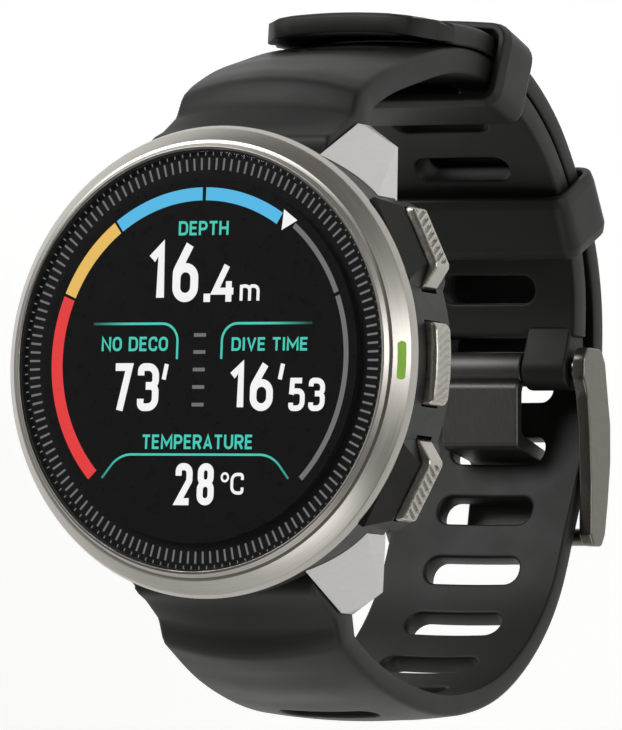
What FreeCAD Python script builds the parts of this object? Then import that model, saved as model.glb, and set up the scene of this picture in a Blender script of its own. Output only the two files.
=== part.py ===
import FreeCAD, Part
import math
import os

os.makedirs("parts", exist_ok=True)
V = FreeCAD.Vector

# Wrist-worn dive computer, buckled, face up.  Millimetres.
# Origin: middle of the crystal's outer face.  +X to 3 o'clock, +Y to 12 o'clock, +Z out of the face.

# ---- head ----
bezel_r = 24.75            # largest radius of the steel bezel
bezel_edge_z = -2.8        # height of that largest radius
bezel_bottom = -3.3
bezel_bore_r = 22.05
crystal_r = 21.85
crystal_thick = 0.95
display_r = 18.9
case_r = 24.4
case_bottom = -12.6
cavity_r = 19.7
cavity_top = -4.7
cavity_floor = -10.4
back_r = 19.6
back_bottom = -13.2
back_seat = -11.9
window_r = 7.5
window_bottom = -13.45

# ---- strap, spring bars ----
strap_half = 11.0          # 22 mm strap
lug_inner = 11.25
flat_y = 21.2              # case is cut flat here to take the strap ends
flat_top = -5.6
bar_y, bar_z, bar_r = 23.2, -10.4, 0.9
short_thick = 2.8
long_thick = 2.3
layer_gap = 0.2
crown = 0.75               # both layers are arched this much across their width
slot_length, slot_height = 11.6, 3.2
short_pitch, long_pitch = 7.5, 7.2

# ---- buckle ----
pin_y, pin_z, pin_r = 3.4, -61.6, 0.75
barrel_r = 2.35
arm_in, arm_out = 11.4, 13.0
bar_cross_y, bar_cross_z, bar_cross_r = -14.8, -64.3, 0.95
fork_half = 5.1            # half width of the strap's fork round the tang
tang_half = 4.75

# ---- buttons ----
press = 0.6
stem_r = 0.8
side_angle = 27.5          # the two outer buttons sit this far from 3 o'clock


def save(name, shape):
    shape.exportStep("parts/" + name + ".step")


def box(x0, x1, y0, y1, z0, z1):
    return Part.makeBox(x1 - x0, y1 - y0, z1 - z0, V(x0, y0, z0))


def disc(r, z0, z1, x=0.0, y=0.0):
    return Part.makeCylinder(r, z1 - z0, V(x, y, z0))


def ring(r_in, r_out, z0, z1):
    return disc(r_out, z0, z1).cut(disc(r_in, z0 - 1, z1 + 1))


def rod(r, x0, x1, y, z):
    return Part.makeCylinder(r, x1 - x0, V(x0, y, z), V(1, 0, 0))


def turned(profile):
    """Solid of revolution about Z from (radius, z) points."""
    points = [V(r, 0, z) for r, z in profile]
    face = Part.Face(Part.makePolygon(points + [points[0]]))
    return face.revolve(V(0, 0, 0), V(0, 0, 1), 360)


def prism_z(outline, z0, z1):
    points = [V(x, y, z0) for x, y in outline]
    return Part.Face(Part.makePolygon(points + [points[0]])).extrude(V(0, 0, z1 - z0))


def prism_x(outline, x0, x1):
    points = [V(x0, y, z) for y, z in outline]
    return Part.Face(Part.makePolygon(points + [points[0]])).extrude(V(x1 - x0, 0, 0))


def keep_below(shape, point, normal, size=90.0):
    """Cut away everything on the side of a plane that its normal points to."""
    slab = Part.makeBox(size, size, size, V(-size / 2, -size / 2, 0))
    slab.Placement = FreeCAD.Placement(point, FreeCAD.Rotation(V(0, 0, 1), normal))
    return shape.cut(slab)


def mirrored_y(shape):
    return shape.mirror(V(0, 0, 0), V(0, 1, 0))


def mirrored_x(shape):
    return shape.mirror(V(0, 0, 0), V(1, 0, 0))


def turn_z(shape, degrees):
    copy = shape.copy()
    copy.rotate(V(0, 0, 0), V(0, 0, 1), degrees)
    return copy


def coil(radius, wire_r, length, turns):
    """Compression spring along +Z from 0 to length."""
    height = length - 2 * wire_r
    helix = Part.makeHelix(height / turns, height, radius)
    circle = Part.Wire(Part.makeCircle(wire_r, V(radius, 0, 0), V(0, 1, 0)))
    spring = Part.Wire(helix).makePipeShell([circle], True, True)
    spring.translate(V(0, 0, wire_r))
    return spring


# =====================================================================  head
crystal = turned([(0, 0), (crystal_r - 0.35, 0), (crystal_r, -0.3),
                  (crystal_r, -crystal_thick), (0, -crystal_thick)])
save("crystal", crystal)
save("crystal_gasket", ring(crystal_r + 0.01, bezel_bore_r - 0.01, -crystal_thick, -0.25))

bezel = turned([(bezel_bore_r, -0.02), (22.35, -0.02), (22.72, -0.55), (22.85, -0.55),
                (23.05, -0.6), (24.4, -2.05), (bezel_r, bezel_edge_z), (bezel_r, -3.0),
                (case_r, bezel_bottom), (22.4, bezel_bottom), (22.4, -4.6), (21.6, -4.6),
                (21.6, bezel_bottom), (21.0, bezel_bottom), (21.0, -1.95),
                (bezel_bore_r, -1.95)])
marker = box(23.4, 24.2, -2.0, 2.0, -2.4, -1.0)
marker = keep_below(marker, V(23.4, 0, -0.95), V(0.73, 0, 0.68))
bezel = bezel.cut(box(23.38, 24.22, -2.02, 2.02, -2.42, -0.5))
save("bezel_ring", bezel)
save("bezel_marker", marker)

save("tick_ring", ring(display_r + 0.05, 22.0, -1.9, -crystal_thick - 0.05))
save("display_module", disc(display_r, -2.6, -crystal_thick - 0.02))
save("antenna_ring", ring(19.2, 20.8, -3.4, -2.4))

frame_ring = ring(17.4, 18.3, cavity_floor, -2.7)
frame_floor = disc(17.5, -6.3, -5.9)
inner_frame = frame_ring.fuse(frame_floor).removeSplitter()
save("inner_frame", inner_frame)

board = disc(17.3, -5.4, -4.5)
for cx, cy, w, h in ((-6, 5, 7, 7), (6, 6, 5, 4), (4, -7, 8, 5), (-8, -7, 4, 6)):
    board = board.fuse(box(cx - w / 2, cx + w / 2, cy - h / 2, cy + h / 2, -4.5, -3.7))
save("main_board", board.removeSplitter())
cell = box(-12, 12, -12, 12, -10.2, -6.6)
save("battery", cell.makeFillet(1.2, [e for e in cell.Edges if abs(e.Vertexes[0].Z - e.Vertexes[1].Z) > 1]))
motor = Part.makeCylinder(1.8, 7.0, V(14.5, -3.5, -8.3), V(0, 1, 0))
save("vibration_motor", motor)

# ---- case body with shoulders for the two outer buttons
case = turned([(0, bezel_bottom), (case_r, bezel_bottom), (case_r, -10.4),
               (21.9, case_bottom), (0, case_bottom)])
shoulder_outline = [(18, -4.4), (23.7, -4.0), (25.9, -1.75), (25.9, 4.9), (24.4, 6.6), (18, 6.6)]
shoulder = prism_z(shoulder_outline, -10.6, bezel_bottom)
shoulder = keep_below(shoulder, V(24.6, 0, bezel_bottom - 0.1), V(0.86, 0, 0.5))
shoulder = keep_below(shoulder, V(25.9, 0, -9.3), V(0.7, 0, -0.7))
shoulder_top = turn_z(shoulder, side_angle)
case = case.fuse([shoulder_top, mirrored_y(shoulder_top)])
case = case.cut(disc(22.45, cavity_top, bezel_bottom + 1))
case = case.cut(disc(cavity_r, cavity_floor, 0))
case = case.cut(disc(16.5, -20, 0))
case = case.cut(disc(back_r + 0.1, -20, back_seat))
strap_room = box(-lug_inner, lug_inner, flat_y, 40, -20, flat_top)
case = case.cut([strap_room, mirrored_y(strap_room)])

# ---- buttons: outline in (outward, sideways), push direction +X before turning
outer_cap = [(24.9, 4.75), (26.3, 4.75), (26.85, 4.25), (26.85, -2.15), (26.6, -2.6),
             (24.5, -3.75), (23.5, -3.75), (24.9, -1.6)]
middle_cap = [(23.7, -4.3), (25.0, -4.3), (25.45, -3.7), (25.65, -1.2), (25.65, 1.2),
              (25.45, 3.7), (25.0, 4.3), (23.7, 4.3)]


def button_set(cap_outline, cap_back, side, z_low, z_high, pocket_side):
    """Cap with stem, plus the pocket, bushing and seal that go with it."""
    mid = (z_low + z_high) / 2
    cap = prism_z(cap_outline, z_low, z_high)
    front = [e for e in cap.Edges if e.BoundBox.XMin > 25.5 and e.BoundBox.ZLength < 0.1]
    cap = cap.makeChamfer(0.25, front)
    cap = cap.fuse(rod(stem_r, 19.8 - press, cap_back + 0.2, side, mid)).removeSplitter()
    pocket = box(22.5, 30, pocket_side[0], pocket_side[1], z_low - 0.15, z_high + 0.15)
    pocket = pocket.fuse([rod(1.7, 21.4, 22.6, side, mid), rod(1.4, 15, 21.5, side, mid)])
    bushing = rod(1.38, 19.85, 21.38, side, mid).cut(rod(stem_r + 0.05, 15, 25, side, mid))
    bushing = bushing.cut(rod(1.16, 20.4, 20.8, side, mid))
    seal = rod(1.14, 20.42, 20.78, side, mid).cut(rod(stem_r + 0.02, 15, 25, side, mid))
    return cap, pocket, bushing, seal


def return_spring(cap_back, side, mid, turn, phase):
    """Coil between a button's bushing and the back of its cap; phase is where its wire starts."""
    spring = coil(1.25, 0.14, cap_back - 21.46, 4)
    spring.rotate(V(0, 0, 0), V(0, 0, 1), phase)
    spring.rotate(V(0, 0, 0), V(0, 1, 0), 90)
    spring.translate(V(21.43, side, mid))
    return turn_z(spring, turn)


outer_set = button_set(outer_cap, 24.9, 1.2, -8.8, -6.0, (-4.15, 4.95))
middle_set = button_set(middle_cap, 23.7, 0.0, -8.35, -5.35, (-4.5, 4.5))
top_set = [turn_z(s, side_angle) for s in outer_set]
bottom_set = [mirrored_y(s) for s in top_set]
for parts in (top_set, middle_set, bottom_set):
    case = case.cut(parts[1])
save("button_top", top_set[0])
save("button_middle", middle_set[0])
save("button_bottom", bottom_set[0])
save("button_bushings", Part.makeCompound([s[2] for s in (top_set, middle_set, bottom_set)]))
save("button_seals", Part.makeCompound([s[3] for s in (top_set, middle_set, bottom_set)]))
save("spring_top", return_spring(24.9, 1.2, -7.4, side_angle, 180))
save("spring_middle", return_spring(23.7, 0.0, -6.85, 0, 180))
save("spring_bottom", return_spring(24.9, -1.2, -7.4, -side_angle, 200))

# ---- pressure sensor at 9 o'clock
case = case.cut([rod(1.65, -23.9, -15, 0, -7.2), rod(0.5, -30, -23.8, 0, -7.2)])
sensor = rod(1.6, -23.6, -19.6, 0, -7.2).cut(rod(0.45, -24, -22.4, 0, -7.2))
save("pressure_sensor", sensor)

# ---- case back, screws, sensor window, contacts
back = turned([(0, -10.95), (16.4, -10.95), (16.4, back_seat - 0.05), (back_r, back_seat - 0.05),
               (back_r, -12.9), (back_r - 0.4, back_bottom), (0, back_bottom)])
back = back.cut([disc(window_r + 0.06, -20, -12.6), disc(6.0, -20, 0),
                 ring(16.7, 17.5, -12.3, -11.5)])
screw_at = [(18.55 * math.cos(math.radians(a)), 18.55 * math.sin(math.radians(a)))
            for a in (30, 150, 210, 330)]
screws = []
for sx, sy in screw_at:
    back = back.cut([disc(1.06, -20, -12.6, sx, sy), disc(0.75, -20, 0, sx, sy)])
    case = case.cut(disc(0.72, -12.5, -10.8, sx, sy))
    screw = disc(1.0, back_bottom + 0.05, -12.62, sx, sy).fuse(disc(0.7, -12.7, -10.9, sx, sy))
    hexagon = [(sx + 0.5 * math.cos(math.radians(60 * k)), sy + 0.5 * math.sin(math.radians(60 * k)))
               for k in range(6)]
    screws.append(screw.cut(prism_z(hexagon, -14, -12.8)).removeSplitter())
save("case_back_screws", Part.makeCompound(screws))
contacts = []
for k in (-1.5, -0.5, 0.5, 1.5):
    back = back.cut(disc(0.82, -20, 0, 2.6 * k, 12.4))
    contacts.append(disc(0.8, back_bottom - 0.1, -10.7, 2.6 * k, 12.4))
save("charging_contacts", Part.makeCompound(contacts))
save("case_back", back)
save("case_back_gasket", ring(16.72, 17.48, -12.28, -11.92))
window = turned([(0, -12.62), (window_r, -12.62), (window_r, -13.2), (window_r - 0.8, window_bottom),
                 (0, window_bottom)])
save("sensor_window", window)
save("optical_sensor", disc(5.9, -12.58, -11.6).fuse([disc(1.0, -11.7, -11.0, 2.5 * k, 0)
                                                     for k in (-1, 0, 1)]).removeSplitter())

# =====================================================================  lugs
lug_a = V(lug_inner, 22.1, -5.1)      # inner front corner, beside the bezel
lug_b = V(17.0, 17.6, -7.0)           # corner beside the button
lug_d = V(lug_inner, 25.7, -12.0)     # tip, strap side
lug_c = V(14.9, 23.2, -13.3)          # tip, outer side
top_normal = (lug_b - lug_a).cross(lug_d - lug_a)
if top_normal.z < 0:
    top_normal = top_normal * -1
lug = box(lug_inner, 20.0, 10.0, 28.0, -15.5, -3.4)
lug = keep_below(lug, lug_a, top_normal)
lug = keep_below(lug, lug_d, V(0.55, 0.835, 0))
lug = keep_below(lug, lug_c, V(0.94, 0.35, 0))
lug = keep_below(lug, V(14.9, 23.2, -14.3), V(-0.36, -0.58, -0.73))
lug = keep_below(lug, V(16.2, 17.0, -9), V(0.35, -0.94, 0))
case_hull = turned([(0, 0), (case_r + 0.03, 0), (case_r + 0.03, -10.39), (21.94, case_bottom),
                    (21.94, -20), (0, -20)])
lug = lug.cut(case_hull)
lug = max(lug.Solids, key=lambda s: s.Volume)
lug = lug.cut(rod(0.62, 0, 12.2, bar_y, bar_z))
lug = lug.cut(shoulder_top)
lug = max(lug.Solids, key=lambda s: s.Volume)
save("lug_12_right", lug)
save("lug_12_left", mirrored_x(lug))
save("lug_6_right", mirrored_y(lug))
save("lug_6_left", mirrored_x(mirrored_y(lug)))
case = case.removeSplitter()
save("case_body", case)

# ==========================================================  spring bars
tube = rod(bar_r, -9.9, 9.9, bar_y, bar_z).cut(rod(0.62, -30, 30, bar_y, bar_z))
release_slot = box(3.2, 7.4, bar_y - 1.2, bar_y, bar_z - 0.35, bar_z + 0.35)
tube = tube.cut(release_slot)
end_pin = rod(0.6, -12.1, -6.5, bar_y, bar_z)
release_pin = rod(0.6, 4.0, 12.1, bar_y, bar_z)
lever = box(4.5, 5.3, bar_y - 1.65, bar_y, bar_z - 0.3, bar_z + 0.3)
release_pin = release_pin.fuse(lever).removeSplitter()
bar_spring = coil(0.4, 0.1, 10.3, 12)
bar_spring.rotate(V(0, 0, 0), V(0, 1, 0), 90)
bar_spring.translate(V(-6.4, bar_y, bar_z))
save("spring_bar_12", tube)
save("spring_bar_6", mirrored_y(tube))
save("bar_end_pins", Part.makeCompound([end_pin, mirrored_y(end_pin)]))
save("release_pin_12", release_pin)
save("release_pin_6", mirrored_y(release_pin))
save("bar_spring_12", bar_spring)
save("bar_spring_6", mirrored_y(bar_spring))

# =====================================================================  strap
# Centre lines in the (y, z) plane, from the case towards the buckle.
short_line = [(28.5, -14.3), (30.7, -18.9), (32.2, -23.6), (33.5, -28.2), (34.4, -33.0),
              (34.3, -38.0), (33.0, -43.4), (30.3, -49.0), (26.6, -53.8), (22.0, -57.6),
              (17.0, -60.3), (11.5, -61.8), (7.0, -62.0)]
long_line = [(-28.5, -14.3), (-30.9, -18.9), (-32.8, -24.4), (-34.1, -31.0), (-34.3, -36.0),
             (-33.7, -41.0), (-32.1, -46.4), (-29.2, -51.4), (-25.5, -55.5), (-20.3, -59.0),
             (-14.5, -61.2), (-7.0, -64.0), (0.0, -65.8), (5.0, -66.2), (10.0, -65.9),
             (15.0, -64.7), (19.4, -62.7)]


def line_curve(points):
    curve = Part.BSplineCurve()
    curve.interpolate([V(0, y, z) for y, z in points])
    return curve


def shifted(points, distance):
    """The same line moved sideways; positive is to the outside of the loop."""
    curve = line_curve(points)
    moved = []
    for y, z in points:
        along = curve.tangent(curve.parameter(V(0, y, z)))[0]
        out = V(0, -along.z, along.y)
        if out.dot(V(0, y, z + 38)) < 0:
            out = out * -1
        moved.append((y + out.y * distance, z + out.z * distance))
    return moved


# the free end lies on top of the short strap
over = shifted(short_line, (short_thick + long_thick) / 2 + layer_gap)
long_line = long_line + [over[k] for k in (9, 8, 7, 6, 5, 4)] + [(37.3, -26.6)]


def along_line(points, distance):
    """Frame on the line: point, direction and outward normal at an arc length."""
    curve = line_curve(points)
    edge = curve.toShape()
    parameter = edge.getParameterByLength(distance)
    point = edge.valueAt(parameter)
    along = edge.tangentAt(parameter)
    out = V(0, -along.z, along.y)
    if out.dot(point - V(0, 0, -38)) < 0:
        out = out * -1
    return point, along, out


def place_on_line(shape, points, distance):
    """Move a shape made round the origin (X across, Y along, Z outward) onto a line."""
    point, along, out = along_line(points, distance)
    side = along.cross(out)
    matrix = FreeCAD.Matrix(side.x, along.x, out.x, point.x,
                            side.y, along.y, out.y, point.y,
                            side.z, along.z, out.z, point.z, 0, 0, 0, 1)
    copy = shape.copy()
    copy.Placement = FreeCAD.Placement(matrix)
    return copy


def strap_band(points, thick, inner_crown, outer_crown, bevel=0.6):
    """Arched band of rubber along a line."""
    half, low, high = strap_half, -thick / 2, thick / 2
    path = line_curve(points).toShape()
    start, along, out = along_line(points, 0)

    def at(x, n):
        return start + V(x, 0, 0) + out * n
    edges = [Part.Arc(at(-half, low), at(0, low + inner_crown), at(half, low)).toShape(),
             Part.makeLine(at(half, low), at(half, high - bevel)),
             Part.makeLine(at(half, high - bevel), at(half - bevel, high)),
             Part.Arc(at(half - bevel, high), at(0, high + outer_crown), at(bevel - half, high)).toShape(),
             Part.makeLine(at(bevel - half, high), at(-half, high - bevel)),
             Part.makeLine(at(-half, high - bevel), at(-half, low))]
    return Part.Wire(path).makePipeShell([Part.Wire(edges)], True, False)


def strap_end(points, thick, front):
    """Thick end between the lugs, closed onto the start of the band."""
    first_out = shifted(points, thick / 2 + 0.3)[0]
    first_in = shifted(points, -thick / 2)[0]
    return prism_x([first_out] + front + [first_in], -strap_half, strap_half)


# Thick strap end between the lugs, front face first.
end_block = [(29.0, -12.7), (26.6, -11.6), (24.8, -8.8), (23.9, -6.5), (21.5, -6.5),
             (21.5, -11.6), (22.6, -13.0), (25.2, -14.8)]
end_block_6 = [(-y, z) for y, z in end_block]


def ladder_slot():
    slot = box(-slot_length / 2, slot_length / 2, -slot_height / 2, slot_height / 2, -4, 4)
    upright = [e for e in slot.Edges if e.BoundBox.ZLength > 7]
    return slot.makeFillet(1.45, upright)


def rounded_tip(points, radius):
    """What is cut away to round the two corners of the free end."""
    plate = box(-strap_half, strap_half, -30, 0, -6, 6)
    corners = [e for e in plate.Edges if e.BoundBox.ZLength > 11 and e.BoundBox.YMin > -1]
    cutter = box(-15, 15, -9, 3, -5, 5).cut(plate.makeFillet(radius, corners))
    return place_on_line(cutter, points, line_curve(points).toShape().Length - 0.02)


short = strap_band(short_line, short_thick, 0.3, crown)
long = strap_band(long_line, long_thick, crown, crown)
long = long.cut(rounded_tip(long_line, 4.8))
short = short.fuse(strap_end(short_line, short_thick, end_block))
long = long.fuse(strap_end(long_line, long_thick, end_block_6))

slot = ladder_slot()
short_slots = [14.2 + short_pitch * k for k in range(7)]
long_slots = [16.5 + long_pitch * k for k in range(15)]
short = short.cut([place_on_line(slot, short_line, s) for s in short_slots])
long = long.cut([place_on_line(slot, long_line, s) for s in long_slots])

# forked barrel that carries the buckle pin
barrel = rod(barrel_r, -strap_half + 0.4, strap_half - 0.4, pin_y, pin_z)
neck = prism_x([(7.3, -60.7), (7.3, -63.3), (pin_y, pin_z - 2.2), (pin_y, pin_z + 2.2)],
               -strap_half + 0.4, strap_half - 0.4)
short = short.fuse([barrel, neck])
fork = box(-fork_half, fork_half, -5, 6.5, -70, -55)
short = short.cut([fork, rod(pin_r + 0.03, -20, 20, pin_y, pin_z)])

short = short.cut(rod(bar_r + 0.04, -20, 20, bar_y, bar_z))
lever_room = box(2.6, 7.8, flat_y, bar_y, bar_z - 0.9, bar_z + 0.9)
short = short.cut(lever_room)
long = long.cut([rod(bar_r + 0.04, -20, 20, -bar_y, bar_z), mirrored_y(lever_room)])
save("short_strap", short)
save("long_strap", long)

# =====================================================================  buckle
save("buckle_pin", rod(pin_r, -arm_out + 0.1, arm_out - 0.1, pin_y, pin_z))
arm_outline = [(5.7, -60.3), (5.7, -63.3), (4.2, -64.3), (1.6, -64.9), (-2.4, -65.9), (-6.5, -66.2),
               (-11.0, -65.9), (-14.5, -65.5), (-15.8, -64.8), (-15.8, -63.0), (-14.6, -62.2),
               (-9.0, -61.9), (-3.5, -61.2), (0.6, -60.4), (2.2, -59.5), (4.6, -59.4)]
arm = prism_x(arm_outline, arm_in, arm_out)
arm = arm.makeFillet(0.35, [e for e in arm.Edges
                            if e.BoundBox.XLength < 1e-3 and e.BoundBox.XMin > arm_out - 0.01])
arm = arm.cut(rod(pin_r + 0.02, 0, 20, pin_y, pin_z))
cross_bar = rod(bar_cross_r, -arm_in - 0.4, arm_in + 0.4, bar_cross_y, bar_cross_z)
frame = cross_bar.fuse([arm, mirrored_x(arm)]).removeSplitter()
save("buckle_frame", frame)

tang_path = [(3.4, -59.25), (1.4, -59.25), (-5.0, -59.8), (-5.4, -60.4), (-6.5, -66.0),
             (-7.5, -66.6), (-15.7, -65.5), (-16.2, -65.9), (-16.0, -66.7), (-7.4, -67.8),
             (-5.6, -67.2), (-5.1, -66.0), (-3.8, -61.2), (-3.3, -60.8), (0.8, -60.6), (3.4, -61.4)]
tang = prism_x(tang_path, -tang_half, tang_half)
tang_barrel = rod(1.9, -tang_half, tang_half, pin_y, pin_z)
tang = tang.fuse(tang_barrel).cut(rod(pin_r + 0.03, -20, 20, pin_y, pin_z)).removeSplitter()
save("buckle_tang", tang)


# =====================================================================  keepers
def keeper(half_in, below, above, length, wall, roof):
    """Loop round both straps, X across, Y along, Z outward, measured from the
    short strap's centre line."""
    half_out = half_in + wall
    side = [(-length / 2, below - wall), (length / 2, below - wall),
            (length / 2 + 0.2, above + 0.3), (length / 2 - 0.2, above + roof),
            (-length / 2 + 1.2, above + roof), (-length / 2, above + 0.2)]
    body = prism_x(side, -half_out, half_out)
    body = body.makeFillet(0.7, [e for e in body.Edges if e.BoundBox.XLength < 1e-3
                                 and e.BoundBox.ZMin > above + roof - 0.1 and e.Length > 3])
    return body.cut(box(-half_in, half_in, -30, 30, below, above))


stack_top = short_thick / 2 + layer_gap + long_thick + crown
keeper_free_at, keeper_locked_at = 29.4, 51.2
free = keeper(11.6, -2.9, stack_top + 0.2, 6.8, 1.2, 0.9)
locked = keeper(11.3, -2.25, stack_top + 0.6, 7.4, 1.1, 1.1)
save("keeper_free", place_on_line(free, short_line, keeper_free_at))
save("keeper_locked", place_on_line(locked, short_line, keeper_locked_at))
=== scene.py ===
import bpy
import bmesh
import math
import numpy as np
from mathutils import Matrix, Vector
from mathutils.geometry import delaunay_2d_cdt


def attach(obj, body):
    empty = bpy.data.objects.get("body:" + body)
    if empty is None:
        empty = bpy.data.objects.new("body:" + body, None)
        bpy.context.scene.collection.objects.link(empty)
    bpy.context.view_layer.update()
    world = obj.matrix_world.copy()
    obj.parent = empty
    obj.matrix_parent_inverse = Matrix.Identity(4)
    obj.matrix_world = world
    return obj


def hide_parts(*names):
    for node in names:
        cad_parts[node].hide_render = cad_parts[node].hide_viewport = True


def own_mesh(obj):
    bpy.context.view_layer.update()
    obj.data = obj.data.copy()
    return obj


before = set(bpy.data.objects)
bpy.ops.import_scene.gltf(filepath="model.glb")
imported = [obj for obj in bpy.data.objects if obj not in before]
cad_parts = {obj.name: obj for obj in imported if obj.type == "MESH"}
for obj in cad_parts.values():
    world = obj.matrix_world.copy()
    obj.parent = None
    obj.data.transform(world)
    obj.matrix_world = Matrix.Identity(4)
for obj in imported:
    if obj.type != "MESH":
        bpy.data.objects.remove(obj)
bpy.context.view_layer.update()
MM = 0.001          # shapes below are in millimetres


# ============================================================ materials
def srgb(r, g, b):
    """Linear colour, with alpha, from 0 to 255 display values."""
    linear = [c / 255 / 12.92 if c < 11 else ((c / 255 + 0.055) / 1.055) ** 2.4 for c in (r, g, b)]
    return tuple(linear) + (1.0,)


class Nodes:
    """Short-hand for building a material's node tree."""

    def __init__(self, name):
        self.material = bpy.data.materials.new(name)
        self.material.use_nodes = True
        self.tree = self.material.node_tree
        self.shader = self.tree.nodes["Principled BSDF"]
        self.place = self.add("ShaderNodeTexCoord").outputs["Object"]

    def add(self, kind, **values):
        node = self.tree.nodes.new(kind)
        for key, value in values.items():
            setattr(node, key, value)
        return node

    def link(self, a, b):
        self.tree.links.new(a, b)

    def math(self, operation, a, b=0.0):
        node = self.add("ShaderNodeMath", operation=operation)
        for socket, value in zip(node.inputs, (a, b)):
            if isinstance(value, (int, float)):
                socket.default_value = value
            else:
                self.link(value, socket)
        return node.outputs[0]

    def stretched(self, scale):
        node = self.add("ShaderNodeMapping")
        node.inputs["Scale"].default_value = scale
        self.link(self.place, node.inputs["Vector"])
        return node.outputs[0]

    def noise(self, size_mm, detail=3.0, vector=None):
        node = self.add("ShaderNodeTexNoise")
        node.inputs["Scale"].default_value = 1000.0 / size_mm
        node.inputs["Detail"].default_value = detail
        self.link(self.place if vector is None else vector, node.inputs["Vector"])
        return node.outputs["Fac"]

    def spread(self, factor, low, high):
        node = self.add("ShaderNodeMapRange")
        node.inputs["From Min"].default_value, node.inputs["From Max"].default_value = 0.3, 0.7
        node.inputs["To Min"].default_value, node.inputs["To Max"].default_value = low, high
        self.link(factor, node.inputs["Value"])
        return node.outputs[0]

    def colours(self, factor, low, high, socket="Base Color"):
        ramp = self.add("ShaderNodeValToRGB")
        ramp.color_ramp.elements[0].position, ramp.color_ramp.elements[1].position = 0.32, 0.68
        ramp.color_ramp.elements[0].color, ramp.color_ramp.elements[1].color = low, high
        self.link(factor, ramp.inputs[0])
        self.link(ramp.outputs[0], self.shader.inputs[socket])

    def bump(self, height, depth_mm, strength=1.0):
        node = self.add("ShaderNodeBump")
        node.inputs["Distance"].default_value = depth_mm * MM
        node.inputs["Strength"].default_value = strength
        self.link(height, node.inputs["Height"])
        if self.shader.inputs["Normal"].is_linked:
            self.link(self.shader.inputs["Normal"].links[0].from_socket, node.inputs["Normal"])
        self.link(node.outputs[0], self.shader.inputs["Normal"])


def plain(name, low, high, rough=(0.4, 0.55), grain=0.25, depth=0.01, metal=0.0, specular=0.5, coat=0.0):
    """Moulded or cast surface: two tones, uneven gloss, fine grain."""
    m = Nodes(name)
    m.colours(m.noise(grain * 14, 4), srgb(*low), srgb(*high))
    m.link(m.spread(m.noise(grain * 6), *rough), m.shader.inputs["Roughness"])
    m.bump(m.noise(grain), depth)
    m.shader.inputs["Metallic"].default_value = metal
    m.shader.inputs["Specular IOR Level"].default_value = specular
    m.shader.inputs["Coat Weight"].default_value = coat
    return m.material


def rubber(name, low, high):
    """Silicone strap: satin, very fine grain, slight handling marks."""
    m = Nodes(name)
    m.colours(m.noise(9, 5), srgb(*low), srgb(*high))
    m.link(m.spread(m.noise(3.5, 5), 0.48, 0.53), m.shader.inputs["Roughness"])
    m.bump(m.noise(0.18, 2), 0.006, 0.6)
    m.bump(m.noise(2.6, 2), 0.02, 0.35)
    m.shader.inputs["Specular IOR Level"].default_value = 0.3
    return m.material


def turned_steel(name, low, high, rough):
    """Brushing that runs round the Z axis."""
    m = Nodes(name)
    axes = m.add("ShaderNodeSeparateXYZ")
    m.link(m.place, axes.inputs[0])
    x, y, z = axes.outputs
    radius = m.math("SQRT", m.math("ADD", m.math("MULTIPLY", x, x), m.math("MULTIPLY", y, y)))
    vector = m.add("ShaderNodeCombineXYZ")
    m.link(m.math("MULTIPLY", m.math("DIVIDE", x, radius), 5.0), vector.inputs[0])
    m.link(m.math("MULTIPLY", m.math("DIVIDE", y, radius), 5.0), vector.inputs[1])
    m.link(m.math("MULTIPLY", radius, 14000.0), vector.inputs[2])
    streaks = m.add("ShaderNodeTexNoise", noise_dimensions="4D")
    streaks.inputs["Scale"].default_value = 1.0
    streaks.inputs["Detail"].default_value = 4.0
    m.link(vector.outputs[0], streaks.inputs["Vector"])
    m.link(m.math("MULTIPLY", z, 14000.0), streaks.inputs["W"])
    m.colours(streaks.outputs["Fac"], srgb(*low), srgb(*high))
    m.link(m.spread(streaks.outputs["Fac"], *rough), m.shader.inputs["Roughness"])
    m.bump(streaks.outputs["Fac"], 0.0006, 0.4)
    m.shader.inputs["Metallic"].default_value = 1.0
    m.shader.inputs["Anisotropic"].default_value = 0.55
    tangent = m.add("ShaderNodeTangent", direction_type="RADIAL", axis="Z")
    m.link(tangent.outputs[0], m.shader.inputs["Tangent"])
    return m.material


def lined_steel(name, low, high, rough, stretch, depth=0.003):
    """Straight brushing; stretch is the noise frequency along each axis."""
    m = Nodes(name)
    lines = m.noise(1000.0, 4, m.stretched(stretch))
    m.colours(lines, srgb(*low), srgb(*high))
    m.link(m.spread(lines, *rough), m.shader.inputs["Roughness"])
    m.bump(lines, depth, 0.5)
    m.shader.inputs["Metallic"].default_value = 1.0
    return m.material


def glow(name, colour, strength=1.0, fade=None):
    """Lit area of the display, with its pixel pattern; also used as a painted glow on printed marks; fade is
    where |x| starts and stops dimming, in mm.
    """
    m = Nodes(name)
    m.shader.inputs["Base Color"].default_value = srgb(8, 8, 8)
    m.shader.inputs["Roughness"].default_value = 0.4
    pixels = m.add("ShaderNodeTexChecker")
    pixels.inputs["Scale"].default_value = 1000 / 0.08
    pixels.inputs["Color1"].default_value = srgb(*colour)
    pixels.inputs["Color2"].default_value = srgb(*[c * 0.955 for c in colour])
    m.link(m.place, pixels.inputs["Vector"])
    lit = pixels.outputs[0]
    if fade:
        axes = m.add("ShaderNodeSeparateXYZ")
        m.link(m.place, axes.inputs[0])
        dim = m.add("ShaderNodeMapRange")
        dim.inputs["From Min"].default_value = fade[0] * MM
        dim.inputs["From Max"].default_value = fade[1] * MM
        dim.inputs["To Min"].default_value, dim.inputs["To Max"].default_value = 1.0, 0.1
        m.link(m.math("ABSOLUTE", axes.outputs[0]), dim.inputs["Value"])
        scaled = m.add("ShaderNodeVectorMath", operation="SCALE")
        m.link(lit, scaled.inputs[0])
        m.link(dim.outputs[0], scaled.inputs["Scale"])
        lit = scaled.outputs[0]
    m.link(lit, m.shader.inputs["Emission Color"])
    m.shader.inputs["Emission Strength"].default_value = strength
    return m.material


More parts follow.
